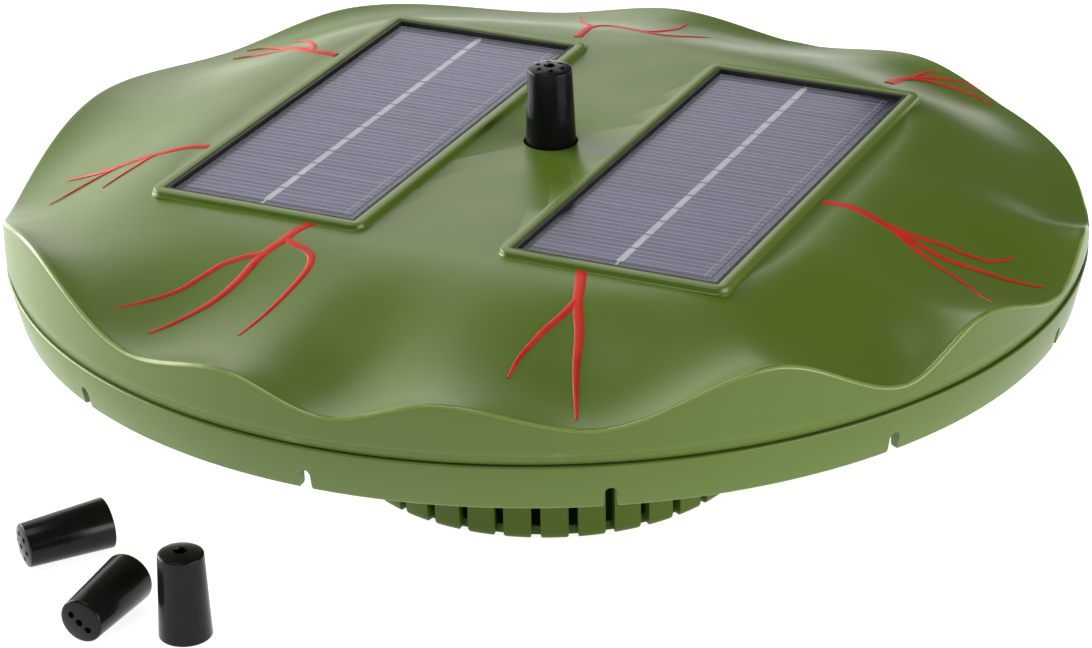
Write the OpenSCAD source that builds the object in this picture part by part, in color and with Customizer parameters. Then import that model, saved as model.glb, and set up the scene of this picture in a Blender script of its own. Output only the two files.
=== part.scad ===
// Floating solar fountain pump shaped like a water-lily leaf.
// Millimetres. The origin is the centre of the strainer's flat underside, +Z is up,
// and the long sides of the two solar panels run along Y.

/* [Float] */
// Radius of the leaf and of the hull at the seam
float_r = 140; // [134:0.5:180]
// How far the hull's band draws in from the seam to its lower edge
hull_taper = 2.5; // [1:0.5:5]
// Height of the seam above the floor
seam_z = 65; // [62:0.5:80]
// Height of the hull's outer band
hull_band = 12; // [10:0.5:16]
// Thickness of the moulded shells
shell = 2.2; // [1.8:0.1:2.8]
// Height of the groove between leaf and hull
seam_gap = 1.3; // [0.8:0.1:2]
// Number of notches in the lower edge of the hull
notch_count = 12; // [6:1:18]
// Width of one notch
notch_w = 3; // [2:0.1:5]

/* [Leaf] */
// Height of the leaf's flat middle above the seam
leaf_rise = 21.3; // [18:0.1:28]
// Flat margin outside the panel lips, along X
flat_margin_x = 5.6; // [3:0.1:10]
// Flat margin outside the panel lips, along Y
flat_margin_y = 3.75; // [2:0.05:8]
// Height of the raised lip round a panel
lip_rise = 1.4; // [0.8:0.1:2.5]

/* [Solar panels] */
// Width of a panel pocket, along X
panel_w = 54; // [44:0.5:56]
// Length of a panel pocket, along Y
panel_l = 130.5; // [108:0.5:134]
// Gap between the two panel pockets
panel_gap = 42.8; // [34:0.2:52]
// Depth of the panel surface below the lip
panel_sink = 0.9; // [0.4:0.1:2]
// Number of cell strips on one panel
cell_count = 14; // [6:1:20]

/* [Nozzle] */
// Height of a nozzle head
nozzle_h = 23.3; // [20:0.1:30]
// Radius of a nozzle head at its foot
nozzle_r = 6.65; // [6.2:0.05:7.5]
// Radius of a nozzle head at its top
nozzle_top_r = 5.75; // [5.3:0.05:6.4]
// How deep the nozzle's foot sits below the flat middle of the leaf
nozzle_sink = 2.5; // [0.3:0.1:4]
// Depth of the socket in a nozzle head
socket_depth = 15; // [10:0.5:18]
// Outer radius of the riser tube
riser_r = 4.5; // [4:0.05:4.8]
// How far the riser, the nozzle and the pump sit behind the centre of the leaf
riser_y = 3.5; // [0:0.5:4]
// Radial clearance of a nozzle head on the riser tube
socket_clear = 0.05; // [0.02:0.01:0.1]

/* [Strainer] */
// Outer radius of the strainer basket
basket_r = 55; // [50:0.5:64]
// Wall of the strainer basket
basket_wall = 2.4; // [2:0.1:3]
// Number of slots round the basket
slot_count = 36; // [24:1:40]
// Width of one slot
slot_w = 2.45; // [2:0.05:3]

/* [Pump] */
// Radius of the impeller
impeller_r = 12; // [10:0.1:13]
// Number of impeller vanes
vane_count = 6; // [4:1:8]
// Radius of the pump shaft
shaft_r = 1; // [0.8:0.05:1.4]
// Radial clearance of a turning part on the shaft
shaft_clear = 0.05; // [0.02:0.01:0.08]
// Length of the motor barrel behind the volute
motor_l = 24.5; // [22:0.5:26]

/* [Hidden] */
$fn = 96;
leaf_green = [0.42, 0.53, 0.22];
hull_green = [0.38, 0.49, 0.2];
basket_green = [0.25, 0.34, 0.15];
black = [0.07, 0.07, 0.08];
over = 0.5;      // how far a cutting tool passes a face
touch = 0.05;    // gap left between neighbours that only lie against each other

// Levels
hull_low_r = float_r - hull_taper;
hull_low_z = seam_z - hull_band;
notch_h = 5.5;
edge_turn = 1;    // turn of the notches and of the basket's slots about the centre line
floor_under_z = hull_low_z + notch_h + 0.8;
floor_top_z = floor_under_z + shell;
cover_low_z = seam_z + seam_gap;
flat_z = seam_z + leaf_rise;
lip_z = flat_z + lip_rise;
ceiling_z = flat_z - shell;

// The flat middle reaches a margin past the lips of both panels
lip_w = 3;
panel_x = (panel_gap + panel_w) / 2;
flat_x = panel_x + panel_w / 2 + lip_w + flat_margin_x;
flat_y = panel_l / 2 + lip_w + flat_margin_y;

// Rim heights above the seam: [direction, height] at each crest and trough of the leaf's edge
rim_waves = [[-129, 22.4], [-109.5, 11], [-97.5, 15.4], [-86.5, 8.8], [-75, 15], [-60.5, 9],
    [-43.5, 19.7], [-28, 6], [-17.5, 15], [0, 4.6], [10, 10.5], [20, 3], [35, 6.2], [50, 5.8],
    [65, 9], [83, 3], [100, 8.5], [113, 6], [139, 13], [156, 8], [176, 12], [200, 4], [231, 22.4]];
rim_rest = 8;    // height of the leaf's edge where no wave lifts it
rim_fold = 3;    // how sharply a wave turns up towards the edge
edge_round = 1;  // rounding of the leaf's crease

function ease(t) = t * t * (3 - 2 * t);
function wrap(a) = a < -129 ? wrap(a + 360) : a >= 231 ? wrap(a - 360) : a;
function wave_at(a, i = 0) = a <= rim_waves[i + 1][0]
    ? rim_waves[i][1] + (rim_waves[i + 1][1] - rim_waves[i][1])
        * ease((a - rim_waves[i][0]) / (rim_waves[i + 1][0] - rim_waves[i][0]))
    : wave_at(a, i + 1);
function rim_h(a) = wave_at(wrap(a));
function rim_base(a) = rim_rest + 0.35 * (rim_h(a) - rim_rest);
function flat_edge(a) =
    pow(pow(abs(cos(a)) / flat_x, 5) + pow(abs(sin(a)) / flat_y, 5), -1 / 5);
function leaf_drop(a, t) = (rim_base(a) - leaf_rise) * ease(t)
    + (rim_h(a) - rim_base(a)) * pow(t, rim_fold);
// Height of the leaf's upper face at a share t of the way from the flat middle to the edge
function leaf_z(a, t) = flat_z + leaf_drop(a, t);
function share(r, a) = max(0, (r - flat_edge(a)) / (float_r - flat_edge(a)));
function leaf_at(p) = leaf_z(atan2(p[1], p[0]), share(norm(p), atan2(p[1], p[0])));

hole_r = nozzle_r + 0.35;  // hole in the leaf round the nozzle

// Rings of the leaf shell, from the flat middle out over the edge and back underneath
leaf_steps = 6;
turns = 96;
function ring(a, r, z) = [r * cos(a), r * sin(a), z];
function hole_ring(a, z) = [hole_r * cos(a), riser_y + hole_r * sin(a), z];
function mid_r(a, t, r1) = flat_edge(a) + (r1 - flat_edge(a)) * t;
function over_ring(a, k) = k < leaf_steps
    ? ring(a, mid_r(a, k / leaf_steps, float_r), leaf_z(a, k / leaf_steps))
    : ring(a, float_r - edge_round, leaf_z(a, 1));
in_r = float_r - shell;
function under_ring(a, k) = ring(a, mid_r(a, k / leaf_steps, in_r),
    max(leaf_z(a, k / leaf_steps) - shell * 1.15, cover_low_z + 0.6));
leaf_rings = concat(
    [[for (i = [0:turns - 1]) hole_ring(i * 360 / turns, flat_z)]],
    [for (k = [0:leaf_steps]) [for (i = [0:turns - 1]) over_ring(i * 360 / turns, k)]],
    [[for (i = [0:turns - 1]) ring(i * 360 / turns, float_r, leaf_z(i * 360 / turns, 1) - edge_round)],
     [for (i = [0:turns - 1]) ring(i * 360 / turns, float_r, cover_low_z)],
     [for (i = [0:turns - 1]) ring(i * 360 / turns, in_r, cover_low_z)]],
    [for (k = [leaf_steps:-1:1]) [for (i = [0:turns - 1]) under_ring(i * 360 / turns, k)]],
    [[for (i = [0:turns - 1]) ring(i * 360 / turns, flat_edge(i * 360 / turns), ceiling_z)],
     [for (i = [0:turns - 1]) hole_ring(i * 360 / turns, ceiling_z)]]);
ring_total = len(leaf_rings);

module leaf_shell() {
    sides = [for (k = [0:ring_total - 1]) for (i = [0:turns - 1])
        let (j = (i + 1) % turns, n = (k + 1) % ring_total)
        [k * turns + i, n * turns + i, n * turns + j, k * turns + j]];
    halves = [for (q = sides) each [[q[0], q[2], q[1]], [q[0], q[3], q[2]]]];
    polyhedron([for (r = leaf_rings) each r], halves, convexity = 8);
}

// Panel pocket
tray_wall = 2;
ledge_w = 3;
ledge_t = 2;
board_t = 1.6;
cell_t = 0.3;
window_t = 0.8;
ribbon_t = 0.1;
panel_z = lip_z - panel_sink;
board_z = panel_z - window_t - ribbon_t - cell_t - board_t;
gasket_w = 1;
cell_margin_w = 4;
cell_margin_l = 5.9;
cell_off_x = -1.4;
cell_off_y = 2.3;
cell_gap = 0.5;
ribbon_w = 1.7;
ribbon_tail = 2.5;

module rounded(w, l, r) {
    offset(r = r, $fn = 32) square([w - 2 * r, l - 2 * r], center = true);
}

module both_sides() {
    for (s = [-1, 1]) translate([s * panel_x, 0, 0]) children();
}

// Cover screws
screw_r = 1.5;
screw_clear = 0.1;
screw_head_r = 2.8;
screw_head_h = 1.6;
screw_l = 9;
boss_r = 4;
screw_spots = [for (s = [-1, 1]) each [[s * (flat_x + 10), 0],
    [s * (flat_x - 26), flat_y + 11], [s * (flat_x - 26), -flat_y - 11]]];

module leaf_cover() {
    color(leaf_green) difference() {
        union() {
            leaf_shell();
            both_sides() translate([0, 0, flat_z - shell / 2])
                linear_extrude(shell / 2 + lip_rise) rounded(panel_w + 2 * lip_w, panel_l + 2 * lip_w, 3.5);
            both_sides() translate([0, 0, board_z - ledge_t])
                linear_extrude(flat_z - shell / 2 - board_z + ledge_t)
                square([panel_w + 2 * tray_wall, panel_l + 2 * tray_wall], center = true);
            // the bosses are twelve-sided
            for (p = screw_spots) translate([p[0], p[1], floor_top_z + touch])
                cylinder(r = boss_r, h = leaf_at(p) - shell - floor_top_z, $fn = 12);
        }
        both_sides() translate([-panel_w / 2, -panel_l / 2, board_z])
            cube([panel_w, panel_l, lip_z - board_z + over]);
        both_sides() translate([-panel_w / 2 + ledge_w, -panel_l / 2 + ledge_w, board_z - ledge_t - over])
            cube([panel_w - 2 * ledge_w, panel_l - 2 * ledge_w, ledge_t + 2 * over]);
        for (p = screw_spots) translate([p[0], p[1], floor_top_z])
            cylinder(r = screw_r, h = screw_l);
    }
}

// Hull
skirt_t = shell;
rib_w = 1.8;
basket_fit = 0.08;
rib_outer_r = basket_r - basket_wall - basket_fit;
rib_drop = 5;
post_r = 4;
riser_wall = 1.2;
chamber_r = impeller_r + 2.5;
volute_wall = 3.5;
pump_r = chamber_r + volute_wall;
// The pump's axis runs beside the outlet, so that the outlet leaves the volute at a tangent
pump_x = -(chamber_r - riser_r + riser_wall - 0.2);
pump_z = pump_r + 6;
ear_x = pump_r + 5;
ear_t = 3;
ear_z = pump_z + pump_r - 6;
post_y = [riser_y + 6, riser_y + motor_l - 4];
chamber_l = 8;
barrel_front = chamber_l / 2;
barrel_back = barrel_front + motor_l;
cap_t = 2.5;
cable_r = 1.8;
cable_bend = 8;
gland_nose = 2;
gland_r = 3.4;
gland_x = pump_x + 9;
gland_y = riser_y + barrel_back + cap_t + gland_nose + cable_bend;

module hull_profile() {
    polygon([[0, floor_under_z], [hull_low_r - skirt_t, floor_under_z],
        [hull_low_r - skirt_t, hull_low_z + 0.8], [hull_low_r - skirt_t + 0.8, hull_low_z],
        [hull_low_r - 0.6, hull_low_z], [hull_low_r + 0.1, hull_low_z + 0.8],
        [float_r, seam_z - 1], [float_r - 0.4, seam_z - 0.3], [float_r - 1, seam_z],
        [float_r - shell, seam_z], [hull_low_r - skirt_t + 1, floor_top_z], [0, floor_top_z]]);
}

module notch_tool() {
    // A slot with a round top, flared where it leaves the edge
    translate([hull_low_r - 6, 0, 0]) rotate([90, 0, 90]) linear_extrude(12) {
        translate([0, hull_low_z + notch_h - notch_w / 2]) circle(r = notch_w / 2, $fn = 32);
        translate([-notch_w / 2, hull_low_z - 1]) square([notch_w, notch_h - notch_w / 2 + 1]);
        polygon([[-notch_w / 2 - 0.8, hull_low_z - 1], [notch_w / 2 + 0.8, hull_low_z - 1],
            [notch_w / 2 + 0.8, hull_low_z], [notch_w / 2, hull_low_z + 1.2],
            [-notch_w / 2, hull_low_z + 1.2], [-notch_w / 2 - 0.8, hull_low_z]]);
    }
}

module pump_posts(r, z0, z1) {
    for (s = [-1, 1]) for (y = post_y)
        translate([pump_x + s * ear_x, y, z0]) cylinder(r = r, h = z1 - z0);
}

module lower_hull() {
    color(hull_green) difference() {
        union() {
            rotate_extrude($fn = 180) hull_profile();
            // ring that the strainer basket plugs onto
            translate([0, 0, floor_under_z - rib_drop]) difference() {
                cylinder(r = rib_outer_r, h = rib_drop + 1);
                translate([0, 0, -1]) cylinder(r = rib_outer_r - rib_w, h = rib_drop + 3);
            }
            pump_posts(post_r, ear_z + ear_t + touch, floor_under_z + 1);
            // collar round the riser tube
            translate([0, riser_y, floor_top_z - over]) cylinder(r = riser_r + 4, h = 5 + over);
        }
        for (i = [0:notch_count - 1]) rotate(edge_turn + i * 360 / notch_count) notch_tool();
        translate([0, riser_y, floor_under_z - over]) cylinder(r = riser_r + 2, h = 12);
        translate([gland_x, gland_y, floor_under_z - over]) cylinder(r = gland_r, h = shell + 2 * over);
        for (p = screw_spots) translate([p[0], p[1], floor_under_z - over])
            cylinder(r = screw_r + screw_clear, h = shell + 2 * over);
        pump_posts(1.2, ear_z + ear_t, ear_z + ear_t + 10);
    }
}

module rim_seal() {
    color(black) rotate_extrude($fn = 180)
        translate([float_r - shell - 0.6, seam_z]) square([shell - 0.4, seam_gap]);
}

// Foam ring that keeps the pump afloat
foam_in_r = basket_r + 4;
foam_out_r = float_r - shell - 4;
foam_h = 5;
module float_foam() {
    color("ivory") difference() {
        translate([0, 0, floor_top_z + touch]) cylinder(r = foam_out_r, h = foam_h, $fn = 128);
        translate([0, 0, floor_top_z - 1]) cylinder(r = foam_in_r, h = foam_h + 3);
        for (p = screw_spots) translate([p[0], p[1], floor_top_z - 1]) cylinder(r = boss_r + 0.5, h = foam_h + 3);
    }
}

module pan_screw(r, l, head_r, head_h) {
    // shank up from z = 0, head below
    cylinder(r = r, h = l, $fn = 32);
    translate([0, 0, -head_h]) difference() {
        cylinder(r1 = head_r * 0.8, r2 = head_r, h = head_h, $fn = 48);
        translate([0, 0, head_h * 0.35]) cube([head_r * 1.2, 0.6, head_h], center = true);
        translate([0, 0, head_h * 0.35 - 0.4]) cube([0.6, head_r * 1.2, head_h * 0.5], center = true);
    }
}

module hull_screws() {
    color("silver") for (p = screw_spots) translate([p[0], p[1], floor_under_z - touch])
        pan_screw(screw_r - touch, screw_l, screw_head_r, screw_head_h);
}

// Solar panel pieces, drawn about the panel's own centre
board_w = panel_w - 2 * gasket_w;
board_l = panel_l - 2 * gasket_w;
cell_area_w = board_w - cell_margin_w;
cell_area_l = board_l - cell_margin_l;
module panel_board(s) {
    color([0.06, 0.06, 0.09]) translate([s * panel_x, 0, board_z])
        linear_extrude(board_t) square([board_w - touch, board_l - touch], center = true);
}

strip_l = cell_area_l / cell_count;
module solar_cells(s) {
    color([0.12, 0.14, 0.36]) translate([s * panel_x + cell_off_x, cell_off_y, board_z + board_t])
        for (i = [0:cell_count - 1])
            translate([-cell_area_w / 2, -cell_area_l / 2 + i * strip_l + cell_gap / 2, 0])
                cube([cell_area_w, strip_l - cell_gap, cell_t]);
}

module busbar_ribbon(s) {
    color("silver") translate([s * panel_x + cell_off_x, cell_off_y, board_z + board_t + cell_t])
        for (i = [0:cell_count - 1])
            translate([-ribbon_w / 2, -cell_area_l / 2 + i * strip_l + cell_gap, 0])
                cube([ribbon_w, strip_l - 2 * cell_gap, ribbon_t]);
}

module panel_window(s) {
    color([0.5, 0.55, 0.75, 0.4]) translate([s * panel_x, 0, panel_z - window_t])
        linear_extrude(window_t) rounded(board_w - touch, board_l - touch, 0.6);
}

module panel_gasket(s) {
    color(black) translate([s * panel_x, 0, board_z]) linear_extrude(lip_z - board_z - 0.2) difference() {
        square([panel_w - touch, panel_l - touch], center = true);
        square([board_w, board_l], center = true);
    }
}

// Internal leads and the small board that joins them
lead_r = 1.1;
lead_y = gland_y;
lead_x = panel_gap / 2 + ledge_w + 1.6;
lead_bend = 6;
lead_z = floor_top_z + foam_h + 3;
joint_board = [26, 16, 1.6];
joint_under_z = lead_z - joint_board[2] / 2;
module panel_lead(s) {
    color("firebrick") translate([0, lead_y, 0]) rotate(s > 0 ? 0 : 180) {
        translate([lead_x, 0, lead_z + lead_bend])
            cylinder(r = lead_r, h = board_z - lead_z - lead_bend - touch, $fn = 24);
        translate([lead_x - lead_bend, 0, lead_z + lead_bend]) rotate([90, 0, 0]) rotate(-90)
            rotate_extrude(angle = 90, $fn = 48) translate([lead_bend, 0]) circle(r = lead_r, $fn = 24);
        translate([joint_board[0] / 2 + touch, 0, lead_z]) rotate([0, 90, 0])
            cylinder(r = lead_r, h = lead_x - lead_bend - joint_board[0] / 2 - touch, $fn = 24);
    }
}

module junction_board() {
    color("seagreen") {
        translate([-joint_board[0] / 2, lead_y - joint_board[1] / 2, lead_z - joint_board[2] / 2]) cube(joint_board);
        for (s = [-1, 1]) translate([s * 7 - 4, lead_y - 4, lead_z + joint_board[2] / 2 - 0.1]) cube([8, 8, 4]);
        for (s = [-1, 1]) for (t = [-1, 1]) translate([s * 11, lead_y + t * 6, floor_top_z + touch])
            cylinder(r = 1.5, h = lead_z - joint_board[2] / 2 - floor_top_z, $fn = 24);
    }
}

// Nozzle heads. Each stands on z = 0 with its jets upwards.
crown = 0.7;
jet_ring_r = 3.35;
module nozzle_head(jets, jet_r) {
    difference() {
        rotate_extrude() polygon([[0, 0], [nozzle_r - 0.3, 0], [nozzle_r, 0.3],
            [nozzle_top_r, nozzle_h - crown - 0.8], [nozzle_top_r - 0.25, nozzle_h - crown - 0.2],
            [nozzle_top_r - 0.9, nozzle_h - crown + 0.15], [1.8, nozzle_h - 0.08], [0, nozzle_h]]);
        translate([0, 0, -over]) cylinder(r = riser_r + socket_clear, h = socket_depth + over);
        translate([0, 0, socket_depth - over]) cylinder(r = riser_r - 0.8, h = nozzle_h - socket_depth - 3 + over);
        for (p = jets) translate([p[0], p[1], nozzle_h - 6]) cylinder(r = jet_r, h = 8, $fn = 32);
    }
}
ring_of_six = [for (i = [0:5]) [jet_ring_r * cos(i * 60), jet_ring_r * sin(i * 60)]];
seven_jets = concat([[0, 0]], ring_of_six);
three_jets = [[0, -2.8], [0, 0], [0, 2.8]];
nozzle_z = flat_z - nozzle_sink;
module nozzle() {
    color(black) translate([0, riser_y, nozzle_z]) difference() {
        nozzle_head(ring_of_six, 0.6);
        translate([0, 0, nozzle_h - 6]) cylinder(r = 1.3, h = 8, $fn = 32);
    }
}

// A head lies on the floor on its side, so its axis dips by its own taper
head_taper = atan((nozzle_r - nozzle_top_r) / (nozzle_h - crown - 1.1));
module lying(x, y, yaw, spin) {
    translate([x, y, nozzle_r * cos(head_taper) + 0.02])
        rotate([0, 90 + head_taper, yaw]) rotate(spin) children();
}

module spare_nozzle_seven_jet() {
    color(black) lying(seven_spot[0], seven_spot[1], seven_yaw, 20) nozzle_head(seven_jets, 0.55);
}

module spare_nozzle_three_jet() {
    color(black) lying(three_spot[0], three_spot[1], three_yaw, -37) nozzle_head(three_jets, 0.7);
}

module spare_nozzle_single_jet() {
    color(black) translate(single_spot) nozzle_head([[0, 0]], 1.5);
}
seven_spot = [-79.6, -96.4];
seven_yaw = 232;
three_spot = [-59.6, -119];
three_yaw = 269;
single_spot = [-38.7, -128.1, 0];

// Riser
riser_low_z = pump_z + pump_r + 1;
riser_top_z = nozzle_z + socket_depth - 0.3;
module riser_tube() {
    color([0.3, 0.3, 0.32]) translate([0, riser_y, 0]) difference() {
        translate([0, 0, riser_low_z]) cylinder(r = riser_r, h = riser_top_z - riser_low_z);
        translate([0, 0, riser_low_z - 1]) cylinder(r = riser_r - riser_wall, h = riser_top_z - riser_low_z + 2);
    }
}

module riser_grommet() {
    color(black) translate([0, riser_y, 0]) difference() {
        union() {
            translate([0, 0, floor_under_z - 1]) cylinder(r = riser_r + 2 - touch, h = 8);
            translate([0, 0, floor_under_z - 2]) cylinder(r = riser_r + 4.5, h = 2 - touch);
        }
        translate([0, 0, floor_under_z - 3]) cylinder(r = riser_r + touch, h = 14);
    }
}

// Pump. Its axis runs along Y through (pump_x, pump_z), with the volute in front.
can_r = 6.2;
can_wall = 0.8;
can_l = motor_l - 6;
barrel_wall = 2;
cover_t = 2.5;
inlet_r = 5;
inlet_l = 8;
rotor_gap = 0.5;

module along_pump() {
    translate([pump_x, riser_y, pump_z]) rotate([-90, 0, 0]) children();
}

module pump_housing() {
    color([0.16, 0.17, 0.18]) difference() {
        union() {
            along_pump() translate([0, 0, -chamber_l / 2]) cylinder(r = pump_r, h = barrel_back + chamber_l / 2);
            translate([0, riser_y, pump_z]) cylinder(r = riser_r + 2, h = riser_low_z - pump_z + 3.5);
            for (s = [-1, 1]) translate([pump_x + s * ear_x, 0, ear_z]) hull() {
                translate([0, post_y[0], 0]) cylinder(r = post_r, h = ear_t, $fn = 32);
                translate([0, post_y[1], 0]) cylinder(r = post_r, h = ear_t, $fn = 32);
                translate([-s * (ear_x - 6), post_y[0] - post_r, 0]) cube([1, post_y[1] - post_y[0] + 2 * post_r, ear_t]);
            }
        }
        along_pump() {
            translate([0, 0, -chamber_l / 2 - over]) cylinder(r = chamber_r, h = chamber_l + over);
            translate([0, 0, barrel_front - over]) cylinder(r = can_r, h = can_l + over);
            translate([0, 0, barrel_front + 2]) difference() {
                cylinder(r = pump_r - barrel_wall, h = motor_l);
                translate([0, 0, -1]) cylinder(r = can_r + can_wall, h = can_l - 2 + can_wall + 1);
            }
        }
        translate([-riser_r - 3, riser_y - chamber_l / 2 - 6, pump_z - 1]) cube([2 * riser_r + 6, 6, pump_r + 1.3]);
        // outlet: tangential to the volute chamber, then the seat of the riser tube
        translate([0, riser_y, pump_z]) cylinder(r = riser_r - riser_wall, h = 30);
        translate([0, riser_y, riser_low_z]) cylinder(r = riser_r, h = 12);
        pump_posts(1.6, ear_z - 1, ear_z + ear_t + 1);
        for (a = volute_screw_angles) along_pump() rotate(a) translate([pump_r - 1.9, 0, -chamber_l / 2 - over])
            cylinder(r = 0.75, h = 5, $fn = 24);
    }
}
volute_screw_angles = [45, 135, 225, 315];

module pump_screws() {
    color("silver") translate([0, 0, ear_z - touch]) for (s = [-1, 1]) for (y = post_y)
        translate([pump_x + s * ear_x, y, 0]) pan_screw(1.2 - touch, 11, 2.6, 1.5);
}

module volute_cover() {
    color([0.2, 0.21, 0.22]) along_pump() translate([0, 0, -chamber_l / 2 - cover_t - touch]) difference() {
        union() {
            cylinder(r = pump_r, h = cover_t);
            translate([0, 0, -inlet_l]) cylinder(r = inlet_r + 1.6, h = inlet_l + 1);
        }
        translate([0, 0, -inlet_l - 1]) difference() {
            cylinder(r = inlet_r, h = inlet_l + cover_t + 2);
            // spider that holds the front bearing
            translate([0, 0, inlet_l]) cylinder(r = 3, h = cover_t + 1);
            translate([-inlet_r - 1, -0.6, inlet_l]) cube([2 * inlet_r + 2, 1.2, cover_t + 1]);
            translate([-0.6, -inlet_r - 1, inlet_l]) cube([1.2, 2 * inlet_r + 2, cover_t + 1]);
        }
        translate([0, 0, -2]) cylinder(r = 2.05, h = cover_t + 4);
        for (a = volute_screw_angles) rotate(a) translate([pump_r - 1.9, 0, -1]) cylinder(r = 0.85, h = cover_t + 2, $fn = 24);
        translate([0, 0, cover_t - 0.9]) difference() {
            cylinder(r = chamber_r + 0.95, h = 2);
            translate([0, 0, -1]) cylinder(r = chamber_r - 0.05, h = 4);
        }
    }
}

module volute_o_ring() {
    color("dimgray") along_pump() translate([0, 0, -chamber_l / 2 - touch - 0.45])
        rotate_extrude() translate([chamber_r + 0.45, 0]) circle(r = 0.44, $fn = 24);
}

module volute_screws() {
    color("silver") along_pump() translate([0, 0, -chamber_l / 2 - cover_t - 2 * touch])
        for (a = volute_screw_angles) rotate(a) translate([pump_r - 1.9, 0, 0]) pan_screw(0.7, 6, 1.5, 0.9);
}

impeller_z = -chamber_l / 2 + 0.8;
sleeve_r = 2.4;
vane_t = 1;
vane_lean = 28;  // how far the vanes lean back, in degrees
rotor_front = barrel_front + 0.8;
magnet_l = can_l - 5;
module impeller() {
    color("orange") along_pump() difference() {
        union() {
            translate([0, 0, impeller_z + 4.4]) cylinder(r = impeller_r, h = 1.2);
            translate([0, 0, impeller_z + 0.6]) cylinder(r = sleeve_r, h = rotor_front + magnet_l + 1 - impeller_z);
            for (i = [0:vane_count - 1]) rotate(i * 360 / vane_count)
                translate([sleeve_r - 0.6, -vane_t / 2, impeller_z]) rotate(-vane_lean)
                    cube([impeller_r - sleeve_r - 0.6, vane_t, 5]);
        }
        translate([0, 0, -20]) cylinder(r = shaft_r + shaft_clear, h = 60, $fn = 48);
    }
}

module rotor_magnet() {
    color("gray") along_pump() translate([0, 0, rotor_front]) difference() {
        cylinder(r = can_r - rotor_gap, h = magnet_l);
        translate([0, 0, -1]) cylinder(r = sleeve_r, h = magnet_l + 2);
    }
}

shaft_front = -chamber_l / 2 - cover_t;
shaft_back = barrel_front + can_l - 0.2;
module pump_shaft() {
    color("white") along_pump() translate([0, 0, shaft_front]) cylinder(r = shaft_r, h = shaft_back - shaft_front, $fn = 48);
}

module bush(l) {
    difference() {
        cylinder(r = 2, h = l);
        translate([0, 0, -1]) cylinder(r = shaft_r, h = l + 2, $fn = 48);
    }
}

module front_bearing() {
    color("black") along_pump() translate([0, 0, shaft_front - touch]) bush(cover_t + 0.3);
}

module rear_bearing() {
    color("black") along_pump() translate([0, 0, barrel_front + can_l - 2.2]) {
        bush(2.2);
        translate([0, 0, 0.6]) difference() {
            cylinder(r = can_r - touch, h = 1.6 - touch);
            translate([0, 0, -1]) cylinder(r = 2 - touch, h = 4);
        }
    }
}

stator_l = can_l - 6;
stator_z = barrel_front + 5;
pole_w = 4;
module stator_core() {
    color("slategray") along_pump() translate([0, 0, stator_z]) difference() {
        union() {
            difference() {
                cylinder(r = pump_r - barrel_wall - 0.1, h = stator_l);
                translate([0, 0, -1]) cylinder(r = pump_r - barrel_wall - 2.6, h = stator_l + 2);
            }
            for (a = [0:90:270]) rotate(a) translate([can_r, -pole_w / 2, 0])
                cube([pump_r - barrel_wall - 2 - can_r, pole_w, stator_l]);
        }
        translate([0, 0, -1]) cylinder(r = can_r + can_wall + touch, h = stator_l + 2);
    }
}

module stator_coils() {
    coil_x = can_r + can_wall + 1;
    color("peru") along_pump() for (a = [0:90:270]) rotate(a)
        translate([coil_x, 0, stator_z + stator_l / 2]) rotate([0, 90, 0])
            linear_extrude(pump_r - barrel_wall - 3.6 - coil_x) difference() {
            rounded(stator_l + 4.4, pole_w + 4.4, 1.6);
            square([stator_l + 0.2, pole_w + 0.2], center = true);
        }
}

driver_z = barrel_front + can_l + can_wall + 1;
driver_t = 1.2;
module driver_board() {
    color("darkgreen") along_pump() {
        translate([0, 0, driver_z]) cylinder(r = pump_r - barrel_wall - 0.4, h = driver_t);
        translate([-4, -4, driver_z - 0.9]) cube([5, 5, 1]);
        translate([4, 5, driver_z - 0.8]) cylinder(r = 1.6, h = 1, $fn = 32);
        translate([-7, 5, driver_z - 0.6]) cube([3, 1.6, 0.7]);
    }
}

module motor_end_cap() {
    color([0.16, 0.17, 0.18]) along_pump() translate([0, 0, barrel_back + touch]) difference() {
        union() {
            cylinder(r = pump_r, h = cap_t);
            translate([0, 0, -1.5]) cylinder(r = pump_r - barrel_wall - touch, h = 2);
        }
        translate([gland_x - pump_x, -cable_drop, -3]) cylinder(r = gland_r - 0.6, h = cap_t + 6);
    }
}

// Pump cable: out of the end cap, round one bend and up through the hull floor
cable_drop = 4;
cable_z = pump_z + cable_drop;
cable_start = riser_y + driver_z + driver_t + touch;
module cable_gland() {
    color(black) translate([gland_x, riser_y + barrel_back, cable_z]) rotate([-90, 0, 0]) difference() {
        union() {
            translate([0, 0, -1]) cylinder(r = gland_r - 0.65, h = cap_t + 1.1);
            translate([0, 0, cap_t + 2 * touch])
                cylinder(r1 = gland_r + 0.6, r2 = gland_r - 0.6, h = gland_nose - 2 * touch);
        }
        translate([0, 0, -3]) cylinder(r = cable_r, h = cap_t + 8);
    }
}

module pump_cable() {
    color(black) translate([gland_x, 0, 0]) {
        translate([0, cable_start, cable_z]) rotate([-90, 0, 0])
            cylinder(r = cable_r, h = gland_y - cable_bend - cable_start, $fn = 32);
        translate([0, gland_y - cable_bend, cable_z + cable_bend]) rotate([90, 0, 90]) rotate(-90)
            rotate_extrude(angle = 90, $fn = 64) translate([cable_bend, 0]) circle(r = cable_r, $fn = 32);
        translate([0, gland_y, cable_z + cable_bend])
            cylinder(r = cable_r, h = joint_under_z - touch - cable_z - cable_bend, $fn = 32);
    }
}

module hull_gland() {
    color(black) translate([gland_x, gland_y, floor_under_z]) difference() {
        union() {
            translate([0, 0, -1]) cylinder(r = gland_r - touch, h = shell + 3);
            translate([0, 0, -1.6]) cylinder(r1 = gland_r, r2 = gland_r + 0.8, h = 1.6 - touch);
        }
        translate([0, 0, -4]) cylinder(r = cable_r, h = shell + 10);
    }
}

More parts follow.
